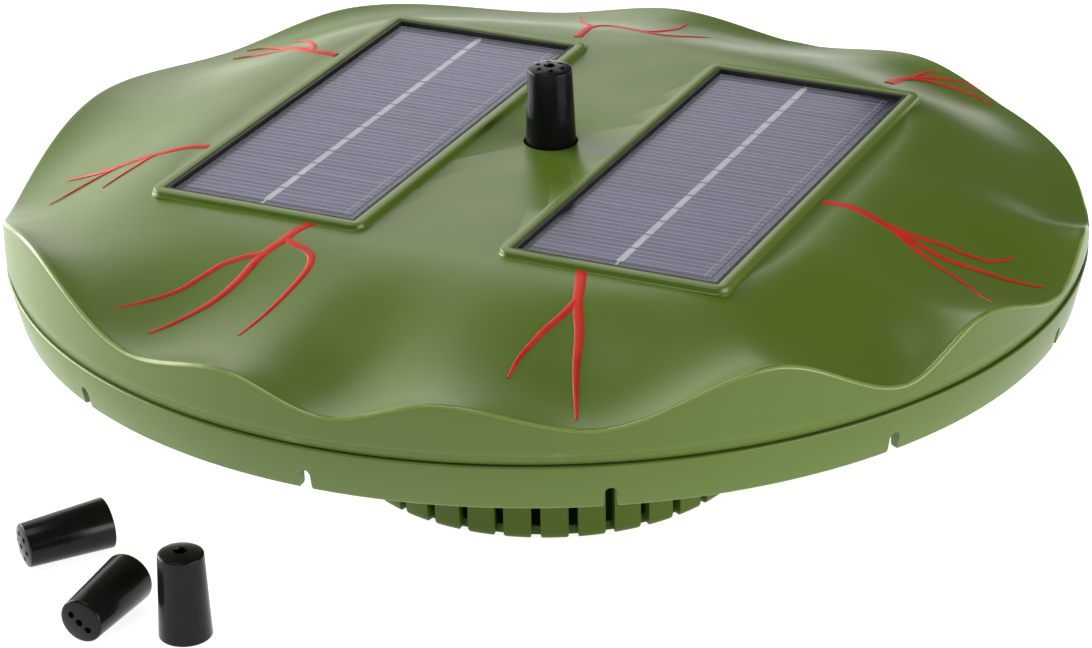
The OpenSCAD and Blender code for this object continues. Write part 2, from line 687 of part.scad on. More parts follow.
sponge_r = 13;
sponge_l = 18;
module inlet_sponge() {
    color("dimgray") along_pump() translate([0, 0, -chamber_l / 2 - cover_t - 1.2 - sponge_l]) difference() {
        cylinder(r = sponge_r, h = sponge_l);
        translate([0, 0, sponge_l - inlet_l]) cylinder(r = inlet_r + 1.65, h = inlet_l + 1);
    }
}

// Strainer basket
basket_floor = 2.4;
basket_top_z = floor_under_z - touch;
slot_top_z = basket_top_z - 11;
slot_in_r = basket_r - basket_wall - 1;
module strainer_basket() {
    color(basket_green) difference() {
        rotate_extrude() polygon([[0, 0], [basket_r - 1.6, 0], [basket_r - 0.5, 0.5], [basket_r, 1.6],
            [basket_r, basket_top_z], [basket_r - basket_wall, basket_top_z],
            [basket_r - basket_wall, basket_floor], [0, basket_floor]]);
        for (i = [0:slot_count - 1]) rotate(edge_turn + i * 360 / slot_count)
            translate([slot_in_r, -slot_w / 2, -over]) cube([basket_r, slot_w, slot_top_z + over]);
        for (r = [14, 26, 38]) for (i = [0:11]) rotate(i * 30 + r) translate([r, 0, -over])
            cylinder(r = 1.5, h = basket_floor + 2 * over, $fn = 24);
    }
}

leaf_cover();
lower_hull();
rim_seal();
float_foam();
hull_screws();
panel_board(-1);  // panel_board_left
panel_board(1);  // panel_board_right
solar_cells(-1);  // solar_cells_left
solar_cells(1);  // solar_cells_right
busbar_ribbon(-1);  // busbar_ribbon_left
busbar_ribbon(1);  // busbar_ribbon_right
panel_window(-1);  // panel_window_left
panel_window(1);  // panel_window_right
panel_gasket(-1);  // panel_gasket_left
panel_gasket(1);  // panel_gasket_right
panel_lead(-1);  // panel_lead_left
panel_lead(1);  // panel_lead_right
junction_board();
nozzle();
riser_tube();
riser_grommet();
spare_nozzle_seven_jet();
spare_nozzle_three_jet();
spare_nozzle_single_jet();
pump_housing();
volute_cover();
volute_o_ring();
volute_screws();
pump_screws();
impeller();
rotor_magnet();
pump_shaft();
front_bearing();
rear_bearing();
stator_core();
stator_coils();
driver_board();
motor_end_cap();
cable_gland();
pump_cable();
hull_gland();
inlet_sponge();
strainer_basket();
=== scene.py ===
"""Looks of the floating solar fountain pump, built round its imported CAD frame."""
import math

import bmesh
import bpy
from mathutils import Matrix, Vector


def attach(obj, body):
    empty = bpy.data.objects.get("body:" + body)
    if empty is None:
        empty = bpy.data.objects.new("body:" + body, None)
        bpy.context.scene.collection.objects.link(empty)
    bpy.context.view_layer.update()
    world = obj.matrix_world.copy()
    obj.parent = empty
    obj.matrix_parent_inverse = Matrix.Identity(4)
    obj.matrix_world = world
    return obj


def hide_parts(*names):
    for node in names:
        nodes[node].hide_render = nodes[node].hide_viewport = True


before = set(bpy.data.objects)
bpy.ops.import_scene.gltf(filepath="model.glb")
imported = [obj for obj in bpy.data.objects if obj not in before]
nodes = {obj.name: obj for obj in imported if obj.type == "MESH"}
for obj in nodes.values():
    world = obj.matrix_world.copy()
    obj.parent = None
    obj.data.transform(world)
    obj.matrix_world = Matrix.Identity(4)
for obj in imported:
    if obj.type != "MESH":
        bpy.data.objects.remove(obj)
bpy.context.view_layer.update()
MM = 0.001

# ---------------------------------------------------------------- sizes, in millimetres
FLOAT_R = 140.0
SEAM_Z = 65.0
SHELL = 2.2
FLAT_Z = 86.3
LIP_RISE = 1.4
LIP_W = 3.0
LIP_Z = FLAT_Z + LIP_RISE
COVER_LOW_Z = 65.3
HULL_LOW_R = 137.5
HULL_LOW_Z = 53.0
PANEL_W, PANEL_L, PANEL_X = 54.0, 130.5, 48.4
PANEL_Z = 86.8
BOARD_Z = 84.0
TRAY_WALL, LEDGE_W, LEDGE_T = 2.0, 3.0, 2.0
NOTCH_W, NOTCH_H = 3.0, 5.5
FLOOR_UNDER_Z = HULL_LOW_Z + NOTCH_H + 0.8
FLOOR_TOP_Z = FLOOR_UNDER_Z + SHELL
BOSS_R, SCREW_R, SCREW_L = 4.0, 1.5, 9.0
FLAT_X, FLAT_Y = 84.0, 72.0
HOLE_R = 7.0
RISER_R = 4.5
RISER_Y = 3.5
NOZZLE_SINK = 2.5
SCREW_SPOTS = [(94, 0), (58, 83), (58, -83), (-94, 0), (-58, 83), (-58, -83)]
POST_SPOTS = [(x, y) for x in (-34, 12) for y in (9.5, 24)]
POST_LOW_Z = 39.05
POST_R, THREAD_R, THREAD_L = 4, 1.2, 10
GLAND_SPOT = (-2, 44.5)
GLAND_R = 3.4
NOTCHES = 12
EDGE_TURN = math.radians(1)
SLOTS = 36

# Crests and troughs of the leaf's edge: direction in degrees, height above the seam
RIM_WAVES = [(-129, 22.4), (-109.5, 11), (-97.5, 15.4), (-86.5, 8.8), (-75, 15), (-60.5, 9),
             (-43.5, 19.7), (-28, 6), (-17.5, 15), (0, 4.6), (10, 10.5), (20, 3), (35, 6.2),
             (50, 5.8), (65, 9), (83, 3), (100, 8.5), (113, 6), (139, 13), (156, 8), (176, 12),
             (200, 4), (231, 22.4)]
RIM_REST = 8.0
RIM_FOLD = 3.0
RIM_SHARE = 0.35
CORNER_POWER = 5   # squareness of the flat middle


# ---------------------------------------------------------------- small helpers
def ease(t):
    return t * t * (3 - 2 * t)


def mesh_object(name, verts, faces, smooth_angle=35):
    mesh = bpy.data.meshes.new(name)
    mesh.from_pydata([tuple(v) for v in verts], [], faces)
    mesh.update()
    obj = bpy.data.objects.new(name, mesh)
    bpy.context.scene.collection.objects.link(obj)
    shade(obj, smooth_angle)
    return obj


def shade(obj, smooth_angle=35):
    bm = bmesh.new()
    bm.from_mesh(obj.data)
    bmesh.ops.remove_doubles(bm, verts=bm.verts, dist=1e-7)
    bmesh.ops.recalc_face_normals(bm, faces=bm.faces)
    bm.to_mesh(obj.data)
    bm.free()
    obj.data.shade_smooth()
    obj.data.set_sharp_from_angle(angle=math.radians(smooth_angle))


def loft(rings, close_ends=False):
    """Faces through rings of equal length. The last ring joins the first unless the ends are closed."""
    count = len(rings[0])
    verts = [v for ring in rings for v in ring]
    faces = []
    spans = len(rings) - 1 if close_ends else len(rings)
    for k in range(spans):
        n = (k + 1) % len(rings)
        for i in range(count):
            j = (i + 1) % count
            faces.append((k * count + i, k * count + j, n * count + j, n * count + i))
    if close_ends:
        faces.append(tuple(range(count)))
        faces.append(tuple((len(rings) - 1) * count + i for i in range(count)))
    return verts, faces


def turned(name, profile, count=96, smooth_angle=35):
    """A solid of revolution from a closed profile of (radius, height) points in millimetres."""
    rings = []
    for r, z in profile:
        r = max(r, 0.0005)
        turns = [2 * math.pi * i / count for i in range(count)]
        rings.append([(r * MM * math.cos(a), r * MM * math.sin(a), z * MM) for a in turns])
    verts, faces = loft(rings)
    return mesh_object(name, verts, faces, smooth_angle)


def arc(cx, cz, r, a0, a1, steps=5):
    """Points of an arc in a profile, angles in degrees."""
    out = []
    for i in range(steps + 1):
        a = math.radians(a0 + (a1 - a0) * i / steps)
        out.append((cx + r * math.cos(a), cz + r * math.sin(a)))
    return out


def cut(obj, tool, how="DIFFERENCE"):
    mod = obj.modifiers.new("cut", "BOOLEAN")
    mod.operation = how
    mod.solver = "EXACT"
    mod.object = tool
    dep = bpy.context.evaluated_depsgraph_get()
    mesh = bpy.data.meshes.new_from_object(obj.evaluated_get(dep))
    obj.modifiers.clear()
    old = obj.data
    obj.data = mesh
    bpy.data.meshes.remove(old)
    data = tool.data
    bpy.data.objects.remove(tool)
    bpy.data.meshes.remove(data)


def drum(name, x, y, z0, z1, r, count=32):
    turns = [2 * math.pi * i / count for i in range(count)]
    rings = [[((x + r * math.cos(a)) * MM, (y + r * math.sin(a)) * MM, z * MM) for a in turns] for z in (z0, z1)]
    verts, faces = loft(rings, close_ends=True)
    return mesh_object(name, verts, faces)


def radial_tool(name, outline, angle, radii):
    """A solid that runs outwards at an angle, from an outline of (sideways, height) points."""
    c, s = math.cos(angle), math.sin(angle)
    rings = [[((r * c - u * s) * MM, (r * s + u * c) * MM, z * MM) for u, z in outline] for r in radii]
    verts, faces = loft(rings, close_ends=True)
    return mesh_object(name, verts, faces)


def merged(name, objs):
    """One object from several, which keep their own closed surfaces."""
    bm = bmesh.new()
    for o in objs:
        bm.from_mesh(o.data)
        data = o.data
        bpy.data.objects.remove(o)
        bpy.data.meshes.remove(data)
    mesh = bpy.data.meshes.new(name)
    bm.to_mesh(mesh)
    bm.free()
    obj = bpy.data.objects.new(name, mesh)
    bpy.context.scene.collection.objects.link(obj)
    return obj


# ---------------------------------------------------------------- materials
def new_material(name):
    mat = bpy.data.materials.new(name)
    mat.use_nodes = True
    tree = mat.node_tree
    return mat, tree, tree.nodes["Principled BSDF"]


def noise_node(tree, scale, detail=3.0, rough=0.5, stretch=None):
    coord = tree.nodes.new("ShaderNodeTexCoord")
    out = coord.outputs["Object"]
    if stretch:
        mapping = tree.nodes.new("ShaderNodeMapping")
        mapping.inputs["Scale"].default_value = stretch
        tree.links.new(out, mapping.inputs["Vector"])
        out = mapping.outputs["Vector"]
    noise = tree.nodes.new("ShaderNodeTexNoise")
    noise.inputs["Scale"].default_value = scale
    noise.inputs["Detail"].default_value = detail
    noise.inputs["Roughness"].default_value = rough
    tree.links.new(out, noise.inputs["Vector"])
    return noise.outputs["Fac"]


def ramp(tree, fac, stops):
    node = tree.nodes.new("ShaderNodeValToRGB")
    elements = node.color_ramp.elements
    while len(elements) < len(stops):
        elements.new(0.5)
    for element, (pos, colour) in zip(elements, stops):
        element.position = pos
        element.color = (*colour, 1)
    tree.links.new(fac, node.inputs["Fac"])
    return node.outputs["Color"]


def remap(tree, fac, low, high):
    node = tree.nodes.new("ShaderNodeMapRange")
    node.inputs["From Min"].default_value = 0.3
    node.inputs["From Max"].default_value = 0.7
    node.inputs["To Min"].default_value = low
    node.inputs["To Max"].default_value = high
    tree.links.new(fac, node.inputs["Value"])
    return node.outputs["Result"]


def bump(tree, shader, height, strength, distance):
    node = tree.nodes.new("ShaderNodeBump")
    node.inputs["Strength"].default_value = strength
    node.inputs["Distance"].default_value = distance
    tree.links.new(height, node.inputs["Height"])
    tree.links.new(node.outputs["Normal"], shader.inputs["Normal"])


def plastic(name, dark, light, rough=(0.34, 0.44), grain=0.12, patch=14.0, specular=0.5):
    """Moulded plastic: faint colour drift, uneven gloss and a fine spark-eroded grain."""
    mat, tree, shader = new_material(name)
    drift = noise_node(tree, patch, 4.0)
    tree.links.new(ramp(tree, drift, [(0.3, dark), (0.7, light)]), shader.inputs["Base Color"])
    gloss = noise_node(tree, patch * 6, 5.0)
    tree.links.new(remap(tree, gloss, *rough), shader.inputs["Roughness"])
    shader.inputs["Specular IOR Level"].default_value = specular
    bump(tree, shader, noise_node(tree, 1800.0, 2.0), grain, 0.00006)
    return mat


def metal(name, dark, light, rough=(0.22, 0.4), stretch=(40, 1, 1)):
    mat, tree, shader = new_material(name)
    shader.inputs["Metallic"].default_value = 1.0
    streak = noise_node(tree, 90.0, 4.0, 0.6, stretch)
    tree.links.new(ramp(tree, streak, [(0.3, dark), (0.7, light)]), shader.inputs["Base Color"])
    tree.links.new(remap(tree, streak, *rough), shader.inputs["Roughness"])
    bump(tree, shader, streak, 0.08, 0.00004)
    return mat


def foam(name, dark, light, cell=700.0):
    mat, tree, shader = new_material(name)
    coord = tree.nodes.new("ShaderNodeTexCoord")
    cells = tree.nodes.new("ShaderNodeTexVoronoi")
    cells.inputs["Scale"].default_value = cell
    tree.links.new(coord.outputs["Object"], cells.inputs["Vector"])
    tree.links.new(ramp(tree, cells.outputs["Distance"], [(0.1, light), (0.7, dark)]), shader.inputs["Base Color"])
    shader.inputs["Roughness"].default_value = 0.9
    bump(tree, shader, cells.outputs["Distance"], 0.6, 0.0004)
    return mat


# Painted highlight on the leaf: its crease and convex edges are painted paler where light catches them
LEAF_DARK = (0.076, 0.134, 0.008)
LEAF_LIGHT = (0.09, 0.154, 0.011)


def leaf_material():
    mat, tree, shader = new_material("leaf_abs_satin")
    drift = noise_node(tree, 9.0, 4.0)
    base = ramp(tree, drift, [(0.3, LEAF_DARK), (0.7, LEAF_LIGHT)])
    # Pointiness mask: convex edges and the crease are mixed towards a paler green, a painted highlight
    geometry = tree.nodes.new("ShaderNodeNewGeometry")
    edge = ramp(tree, geometry.outputs["Pointiness"], [(0.52, (0, 0, 0)), (0.6, (1, 1, 1))])
    mix = tree.nodes.new("ShaderNodeMix")
    mix.data_type = "RGBA"
    tree.links.new(edge, mix.inputs["Factor"])
    tree.links.new(base, mix.inputs["A"])
    mix.inputs["B"].default_value = (0.13, 0.19, 0.04, 1)
    tree.links.new(mix.outputs["Result"], shader.inputs["Base Color"])
    tree.links.new(remap(tree, noise_node(tree, 60.0, 5.0), 0.29, 0.36), shader.inputs["Roughness"])
    shader.inputs["Specular IOR Level"].default_value = 0.46
    bump(tree, shader, noise_node(tree, 1500.0, 2.0), 0.16, 0.00006)
    return mat


def crease_painted_highlight_material():
    """The leaf's crease, glossier than the leaf and painted paler as a painted highlight."""
    return plastic("leaf_crease_painted_highlight", (0.16, 0.23, 0.05), (0.2, 0.28, 0.07), (0.22, 0.3), 0.08, 30.0)


def vein_material():
    mat, tree, shader = new_material("vein_paint")
    tone = noise_node(tree, 160.0, 4.0)
    tree.links.new(ramp(tree, tone, [(0.3, (0.44, 0.014, 0.005)), (0.7, (0.55, 0.026, 0.009))]),
                   shader.inputs["Base Color"])
    tree.links.new(remap(tree, tone, 0.38, 0.55), shader.inputs["Roughness"])
    shader.inputs["Specular IOR Level"].default_value = 0.22
    bump(tree, shader, noise_node(tree, 900.0, 3.0), 0.3, 0.00008)
    return mat


def stripes(tree, axis, pitch, width, offset=0.0):
    """1 on lines of a given width that repeat along an object axis, 0 between them. Metres."""
    coord = tree.nodes.new("ShaderNodeTexCoord")
    split = tree.nodes.new("ShaderNodeSeparateXYZ")
    tree.links.new(coord.outputs["Object"], split.inputs["Vector"])
    shift = tree.nodes.new("ShaderNodeMath")
    shift.operation = "ADD"
    shift.inputs[1].default_value = offset
    tree.links.new(split.outputs[axis], shift.inputs[0])
    wrap = tree.nodes.new("ShaderNodeMath")
    wrap.operation = "WRAP"
    wrap.inputs[1].default_value = pitch / 2
    wrap.inputs[2].default_value = -pitch / 2
    tree.links.new(shift.outputs["Value"], wrap.inputs[0])
    size = tree.nodes.new("ShaderNodeMath")
    size.operation = "ABSOLUTE"
    tree.links.new(wrap.outputs["Value"], size.inputs[0])
    line = tree.nodes.new("ShaderNodeMath")
    line.operation = "LESS_THAN"
    line.inputs[1].default_value = width / 2
    tree.links.new(size.outputs["Value"], line.inputs[0])
    return line.outputs["Value"]


def cell_material():
    """Blue silicon with fine printed fingers and streaks that run across the strip."""
    mat, tree, shader = new_material("solar_cell_blue")
    streak = noise_node(tree, 700.0, 4.0, 0.65, (0.02, 1, 1))
    base = ramp(tree, streak, [(0.32, (0.006, 0.008, 0.034)), (0.5, (0.018, 0.023, 0.062)),
                               (0.68, (0.075, 0.08, 0.115))])
    fingers = stripes(tree, "Y", CELL_PITCH / 4 * MM, 0.3 * MM, CELL_PITCH / 8 * MM - CELL_Y0 * MM)
    mix = tree.nodes.new("ShaderNodeMix")
    mix.data_type = "RGBA"
    tree.links.new(fingers, mix.inputs["Factor"])
    tree.links.new(base, mix.inputs["A"])
    mix.inputs["B"].default_value = (0.22, 0.23, 0.31, 1)
    tree.links.new(mix.outputs["Result"], shader.inputs["Base Color"])
    shader.inputs["Roughness"].default_value = 0.35
    shader.inputs["Specular IOR Level"].default_value = 0.2
    return mat


WINDOW_EDGE_GLOSS, WINDOW_FACE_GLOSS = 0.5, 0.022


def window_material():
    """Clear cast window: lets the cells through and mirrors its surroundings."""
    mat = bpy.data.materials.new("panel_window_clear")
    mat.use_nodes = True
    tree = mat.node_tree
    tree.nodes.clear()
    out = tree.nodes.new("ShaderNodeOutputMaterial")
    clear = tree.nodes.new("ShaderNodeBsdfTransparent")
    clear.inputs["Color"].default_value = (0.93, 0.94, 0.98, 1)
    gloss = tree.nodes.new("ShaderNodeBsdfGlossy")
    gloss.inputs["Color"].default_value = (0.95, 0.95, 1, 1)
    tree.links.new(remap(tree, noise_node(tree, 25.0, 4.0), 0.09, 0.12), gloss.inputs["Roughness"])
    facing = tree.nodes.new("ShaderNodeLayerWeight")
    facing.inputs["Blend"].default_value = 0.5
    power = tree.nodes.new("ShaderNodeMath")
    power.operation = "POWER"
    power.inputs[1].default_value = 5.0
    tree.links.new(facing.outputs["Facing"], power.inputs[0])
    schlick = tree.nodes.new("ShaderNodeMath")
    schlick.operation = "MULTIPLY_ADD"
    schlick.inputs[1].default_value = WINDOW_EDGE_GLOSS
    schlick.inputs[2].default_value = WINDOW_FACE_GLOSS
    tree.links.new(power.outputs["Value"], schlick.inputs[0])
    mix = tree.nodes.new("ShaderNodeMixShader")
    tree.links.new(schlick.outputs["Value"], mix.inputs["Fac"])
    tree.links.new(clear.outputs["BSDF"], mix.inputs[1])
    tree.links.new(gloss.outputs["BSDF"], mix.inputs[2])
    tree.links.new(mix.outputs["Shader"], out.inputs["Surface"])
    return mat


# ---------------------------------------------------------------- leaf surface
def rim_height(angle):
    """Height of the leaf's edge above the seam, angle in degrees."""
    a = (angle - RIM_WAVES[0][0]) % 360 + RIM_WAVES[0][0]
    for (a0, h0), (a1, h1) in zip(RIM_WAVES, RIM_WAVES[1:]):
        if a <= a1:
            return h0 + (h1 - h0) * ease((a - a0) / (a1 - a0))
    return RIM_WAVES[-1][1]


def flat_edge(angle):
    a = math.radians(angle)
    return ((abs(math.cos(a)) / FLAT_X) ** CORNER_POWER
            + (abs(math.sin(a)) / FLAT_Y) ** CORNER_POWER) ** (-1 / CORNER_POWER)


def leaf_z(angle, t):
    """Height of the leaf's upper face at a share t of the way from the flat middle to the edge."""
    h = rim_height(angle)
    base = RIM_REST + RIM_SHARE * (h - RIM_REST)
    rise = FLAT_Z - SEAM_Z
    return FLAT_Z + (base - rise) * ease(t) + (h - base) * t ** RIM_FOLD


def leaf_at(x, y):
    angle = math.degrees(math.atan2(y, x))
    inner = flat_edge(angle)
    t = min(max((math.hypot(x, y) - inner) / (FLOAT_R - inner), 0.0), 1.0)
    return leaf_z(angle, t)


BAND_Z, BAND_IN = 67.6, 0.7    # foot of the leaf's outer wall and depth of the band below it
EDGE_R = 1.0      # rounding of the leaf's crease
LEAF_TURNS = 480
LEAF_STEPS = 56


def leaf_shell():
    angles = [360.0 * i / LEAF_TURNS for i in range(LEAF_TURNS)]

    def ring(radius, height, shift=0.0):
        out = []
        for a in angles:
            r = radius(a)
            out.append((r * MM * math.cos(math.radians(a)), (r * math.sin(math.radians(a)) + shift) * MM,
                        height(a) * MM))
        return out

    under = FLAT_Z - SHELL
    rings = [ring(lambda a: HOLE_R, lambda a: FLAT_Z - 0.3, RISER_Y),
             ring(lambda a: HOLE_R + 0.08, lambda a: FLAT_Z - 0.08, RISER_Y),
             ring(lambda a: HOLE_R + 0.3, lambda a: FLAT_Z, RISER_Y)]
    for k in range(1, 4):
        rings.append(ring(lambda a: HOLE_R + (flat_edge(a) - HOLE_R) * k / 4, lambda a: FLAT_Z,
                          RISER_Y * (1 - k / 4)))
    top_r = FLOAT_R - EDGE_R
    for k in range(LEAF_STEPS + 1):
        t = k / LEAF_STEPS
        rings.append(ring(lambda a: flat_edge(a) + (top_r - flat_edge(a)) * t, lambda a: leaf_z(a, t)))
    for k in range(1, 7):
        turn = math.radians(90 - 15 * k)
        rings.append(ring(lambda a: top_r + EDGE_R * math.cos(turn),
                          lambda a: leaf_z(a, 1) - EDGE_R + EDGE_R * math.sin(turn)))
    for k in range(1, 7):
        rings.append(ring(lambda a: FLOAT_R,
                          lambda a: leaf_z(a, 1) - EDGE_R + (BAND_Z + 0.3 - leaf_z(a, 1) + EDGE_R) * k / 6))
    for inset, z in ((0.08, BAND_Z + 0.1), (0.3, BAND_Z), (BAND_IN, BAND_Z), (BAND_IN, COVER_LOW_Z + 0.2),
                     (BAND_IN + 0.2, COVER_LOW_Z)):
        rings.append(ring(lambda a: FLOAT_R - inset, lambda a: z))
    rings.append(ring(lambda a: FLOAT_R - SHELL, lambda a: COVER_LOW_Z))
    inner_r = FLOAT_R - SHELL
    for k in range(20, -1, -1):
        t = k / 20
        rings.append(ring(lambda a: flat_edge(a) + (inner_r - flat_edge(a)) * t,
                          lambda a: max(leaf_z(a, t) - SHELL * 1.15, COVER_LOW_Z + 0.6) if t else under))
    rings.append(ring(lambda a: HOLE_R, lambda a: under, RISER_Y))
    verts, faces = loft(rings)
    leaf = mesh_object("leaf", verts, faces, 50)
    leaf.data.materials.append(leaf_material())
    leaf.data.materials.append(crease_painted_highlight_material())
    # Faces on the rounded crease take the crease material, whose paler colour is a painted highlight
    for face in leaf.data.polygons:
        if face.center.to_2d().length > (FLOAT_R - EDGE_R) * MM and 0.35 < face.normal.z < 0.92:
            face.material_index = 1
    return leaf


def rounded_loop(w, l, r, z, x=0.0, corner=8):
    """A loop round a rectangle with round corners, in metres."""
    out = []
    for cx, cy, start in ((w / 2 - r, l / 2 - r, 0), (-w / 2 + r, l / 2 - r, 90),
                          (-w / 2 + r, -l / 2 + r, 180), (w / 2 - r, -l / 2 + r, 270)):
        for i in range(corner + 1):
            a = math.radians(start + 90 * i / corner)
            out.append(((x + cx + r * math.cos(a)) * MM, (cy + r * math.sin(a)) * MM, z * MM))
    return out


def lip(side):
    """Raised lip round one panel pocket, with its top edges rounded and a small fillet at its foot."""
    w, l = PANEL_W + 2 * LIP_W, PANEL_L + 2 * LIP_W
    x = side * PANEL_X
    loops = [rounded_loop(w + 0.9, l + 0.9, 3.9, FLAT_Z - 1.2, x),
             rounded_loop(w + 0.8, l + 0.8, 3.9, FLAT_Z - 0.02, x),
             rounded_loop(w + 0.4, l + 0.4, 3.7, FLAT_Z + 0.08, x),
             rounded_loop(w + 0.1, l + 0.1, 3.55, FLAT_Z + 0.3, x),
             rounded_loop(w - 0.1, l - 0.1, 3.45, LIP_Z - 0.35, x),
             rounded_loop(w - 0.25, l - 0.25, 3.4, LIP_Z - 0.12, x),
             rounded_loop(w - 0.6, l - 0.6, 3.2, LIP_Z, x),
             rounded_loop(PANEL_W + 0.4, PANEL_L + 0.4, 0.5, LIP_Z, x),
             rounded_loop(PANEL_W + 0.1, PANEL_L + 0.1, 0.35, LIP_Z - 0.1, x),
             rounded_loop(PANEL_W, PANEL_L, 0.3, LIP_Z - 0.3, x),
             rounded_loop(PANEL_W, PANEL_L, 0.3, FLAT_Z - 1.2, x)]
    verts, faces = loft(loops)
    return mesh_object("lip", verts, faces, 50)


def pocket(side, w, l, z0, z1, corner=0.3):
    verts, faces = loft([rounded_loop(w, l, corner, z, side * PANEL_X) for z in (z0, z1)], close_ends=True)
    return mesh_object("pocket", verts, faces)


def leaf_cover():
    leaf = leaf_shell()
    for side in (-1, 1):
        cut(leaf, lip(side), "UNION")
        tray = pocket(side, PANEL_W + 2 * TRAY_WALL, PANEL_L + 2 * TRAY_WALL, BOARD_Z - LEDGE_T, FLAT_Z - 1, 1.5)
        cut(leaf, tray, "UNION")
        cut(leaf, pocket(side, PANEL_W, PANEL_L, BOARD_Z, FLAT_Z + 6))
        cut(leaf, pocket(side, PANEL_W - 2 * LEDGE_W, PANEL_L - 2 * LEDGE_W, BOARD_Z - LEDGE_T - 1, BOARD_Z + 1))
    for x, y in SCREW_SPOTS:
        boss = drum("boss", x, y, FLOOR_TOP_Z + 0.05, leaf_at(x, y) - SHELL + 0.6, BOSS_R)
        cut(leaf, boss, "UNION")
        cut(leaf, drum("pilot", x, y, FLOOR_TOP_Z - 1, FLOOR_TOP_Z + SCREW_L, SCREW_R))
    leaf.name = "leaf_cover_moulding"
    shade(leaf, 50)
    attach(leaf, "float")
    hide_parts("leaf_cover")


# ---------------------------------------------------------------- veins
# Each vein group: branches of (x, y) points in millimetres, and the widths at both ends
VEINS = {
    "a": [([(-80.5, 36.6), (-88.7, 37.9), (-95, 42.5), (-101.5, 48), (-108, 51), (-117, 53), (-122, 51.5)],
           3.1, 0.7),
          ([(-88.5, 38), (-91, 43), (-96, 50), (-103, 59), (-108.4, 64)], 1.8, 0.5),
          ([(-101, 47.8), (-107, 54), (-113, 59.5), (-118, 61), (-122, 59.5)], 1.6, 0.5)],
    "b": [([(-80, -34.4), (-84.5, -36.6), (-88.7, -39.8), (-92.3, -41.4), (-97, -42.6), (-103, -44.6), (-107, -48),
            (-110.4, -52.4), (-114, -59.6)], 3.1, 0.6),
          ([(-100.5, -43.8), (-106.4, -43.6), (-113.8, -42.1), (-120, -41.1)], 1.7, 0.5),
          ([(-91.8, -41.2), (-93.3, -44.5), (-94.2, -48.2), (-96.3, -53.8), (-98, -58.7)], 1.7, 0.5)],
    "c": [([(-30, -65), (-33, -72), (-34, -79), (-36, -86), (-37, -96), (-39, -104), (-43, -112), (-48, -121)],
           3.1, 0.7),
          ([(-34, -78), (-31, -79.5), (-27, -81), (-23.5, -84), (-22, -89), (-22, -96), (-23, -106), (-25, -118)],
           2.3, 0.6),
          ([(-35, -85), (-40, -88), (-44, -92), (-47, -98), (-50, -104), (-60, -116)], 2.0, 0.6)],
    "d": [([(40, -65), (44, -75), (47, -83), (51, -91), (56, -104), (63, -119)], 3.1, 0.7),
          ([(46, -81), (45, -87), (43, -95), (42, -105), (43, -113)], 2.2, 0.6)],
    "e": [([(79, -7), (86, -7), (93, -9), (100, -11), (107, -12), (114, -12), (120, -9), (128, -5), (135, -1)],
           3.1, 0.7),
          ([(98, -10), (106, -15), (114, -18), (122, -21), (131, -28)], 2.0, 0.6),
          ([(97, -10), (104, -9), (110, -6), (116, -4), (121, -1), (125, 5)], 1.9, 0.6)],
    "f": [([(64.2, 82), (61.8, 94), (61.5, 103), (64.4, 107.6), (69.7, 109.6), (75, 110), (79, 109.3), (85, 106.4)],
           3.1, 0.7),
          ([(61.6, 103.5), (65.2, 112), (71, 115.6), (76, 115.4), (79.5, 113.8)], 1.9, 0.6),
          ([(62, 106), (62.4, 112.5), (63.6, 117.4), (66.5, 119)], 1.6, 0.5)],
    "g": [([(-24.9, 74.9), (-26.2, 81.8), (-27.8, 89.7), (-27.8, 96), (-25.3, 98.4), (-21.6, 97), (-16.4, 94.9),
            (-10.6, 92.6), (-6, 92.6), (-2.4, 97), (0.8, 108.3)], 3.0, 0.6),
          ([(-13, 93.4), (-11, 98.4), (-11.2, 112.1), (-13.8, 126)], 1.8, 0.5),
          ([(-27.7, 89), (-32, 97.5), (-38.3, 108), (-46.4, 123)], 1.7, 0.5)],
}
VEIN_STEP = 0.5     # spacing of a vein's cross-sections
VEIN_RISE = 0.2    # height of the paint bead at its widest
# A bead's cross-section: shares of its width and of its height
BEAD_SECTION = ((-0.5, -0.5), (-0.42, 0.35), (-0.2, 0.9), (0.0, 1.0), (0.2, 0.9), (0.42, 0.35), (0.5, -0.5))


def smooth_path(points, step):
    """Evenly spaced points on a Catmull-Rom curve through the given ones."""
    pts = [Vector(p) for p in points]
    pts = [2 * pts[0] - pts[1]] + pts + [2 * pts[-1] - pts[-2]]
    dense = []
    for p0, p1, p2, p3 in zip(pts, pts[1:], pts[2:], pts[3:]):
        for i in range(24):
            t = i / 24
            dense.append(0.5 * (2 * p1 + (p2 - p0) * t + (2 * p0 - 5 * p1 + 4 * p2 - p3) * t * t
                                + (3 * p1 - p0 - 3 * p2 + p3) * t ** 3))
    dense.append(pts[-2])
    out, left = [dense[0]], step
    for a, b in zip(dense, dense[1:]):
        length = (b - a).length
        while length >= left:
            a = a + (b - a) * (left / length)
            length = (b - a).length
            out.append(a)
            left = step
        left -= length
    out.append(dense[-1])
    return out


def vein_bead(points, width0, width1):
    path = smooth_path(points, VEIN_STEP)
    last = len(path) - 1
    rings = []
    for i, p in enumerate(path):
        along = (path[min(i + 1, last)] - path[max(i - 1, 0)]).normalized()
        across = Vector((-along.y, along.x))
        share = i / last
        width = width0 + (width1 - width0) * share ** 1.5
        rise = VEIN_RISE * min(1.0, width / 1.2)
        ring = []
        for s, h in BEAD_SECTION:
            q = p + across * (s * width)
            z = leaf_at(q.x, q.y) + h * rise
            ring.append((q.x * MM, q.y * MM, z * MM))
        rings.append(ring)
    return loft(rings, close_ends=True)


def veins():
    paint = vein_material()
    for key, branches in VEINS.items():
        beads = []
        for points, width0, width1 in branches:
            beads.append(mesh_object("bead", *vein_bead(points, width0, width1), 60))
        obj = merged("leaf_vein_" + key, beads)
        shade(obj, 60)
        obj.data.materials.append(paint)
        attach(obj, "float")


